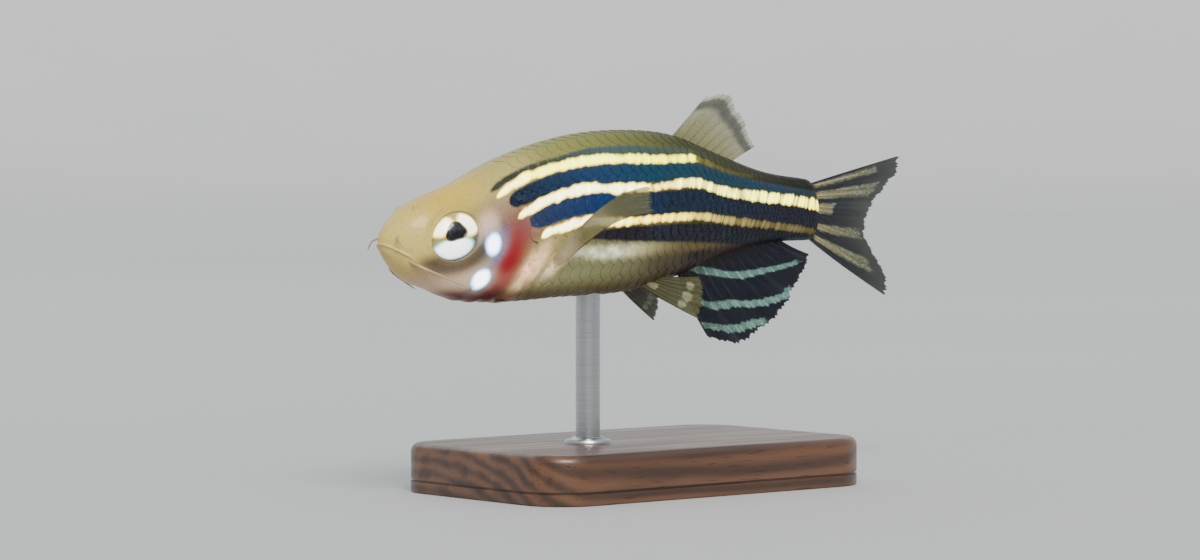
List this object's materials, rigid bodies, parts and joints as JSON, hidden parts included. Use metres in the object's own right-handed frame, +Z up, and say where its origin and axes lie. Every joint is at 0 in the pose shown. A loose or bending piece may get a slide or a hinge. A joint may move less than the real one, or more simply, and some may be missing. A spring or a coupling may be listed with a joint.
{
  "type": "zebra danio fish on a display stand",
  "caption": "Small striped freshwater fish, posed swimming with its fins spread, as a still life-size model held by a rod on a flat base.",
  "frame": {"origin": "centre of the underside of the stand's base", "axes": "+Z up, -X towards the fish's head, -Y towards the fish's left side"},
  "size_m": [0.0441, 0.016, 0.0246],
  "materials": {
    "olive_skin": "wet, softly glossy olive skin",
    "striped_flank": "scaled flank with metallic gold and blue-black stripes",
    "gill_pink": "translucent silvery plate over red gills",
    "eye_silver": "clear wet cornea over a silver iris",
    "fin_membrane": "thin rayed membrane",
    "walnut": "oiled, satin",
    "steel": "brushed"
  },
  "bodies": {
    "root": {"head": "olive_skin", "lower_jaw": "olive_skin", "gill_cover_left": "gill_pink", "gill_cover_right": "gill_pink", "eye_left": "eye_silver", "eye_right": "eye_silver", "trunk": "striped_flank", "tail_stem": "striped_flank", "dorsal_fin": "fin_membrane", "anal_fin": "fin_membrane", "caudal_fin": "fin_membrane", "pectoral_fin_left": "fin_membrane", "pectoral_fin_right": "fin_membrane", "pelvic_fin_left": "fin_membrane", "pelvic_fin_right": "fin_membrane", "maxillary_barbel_left": "olive_skin", "maxillary_barbel_right": "olive_skin", "rostral_barbel_left": "olive_skin", "rostral_barbel_right": "olive_skin", "stand_base": "walnut", "stand_rod": "steel"}
  },
  "joints": []
}
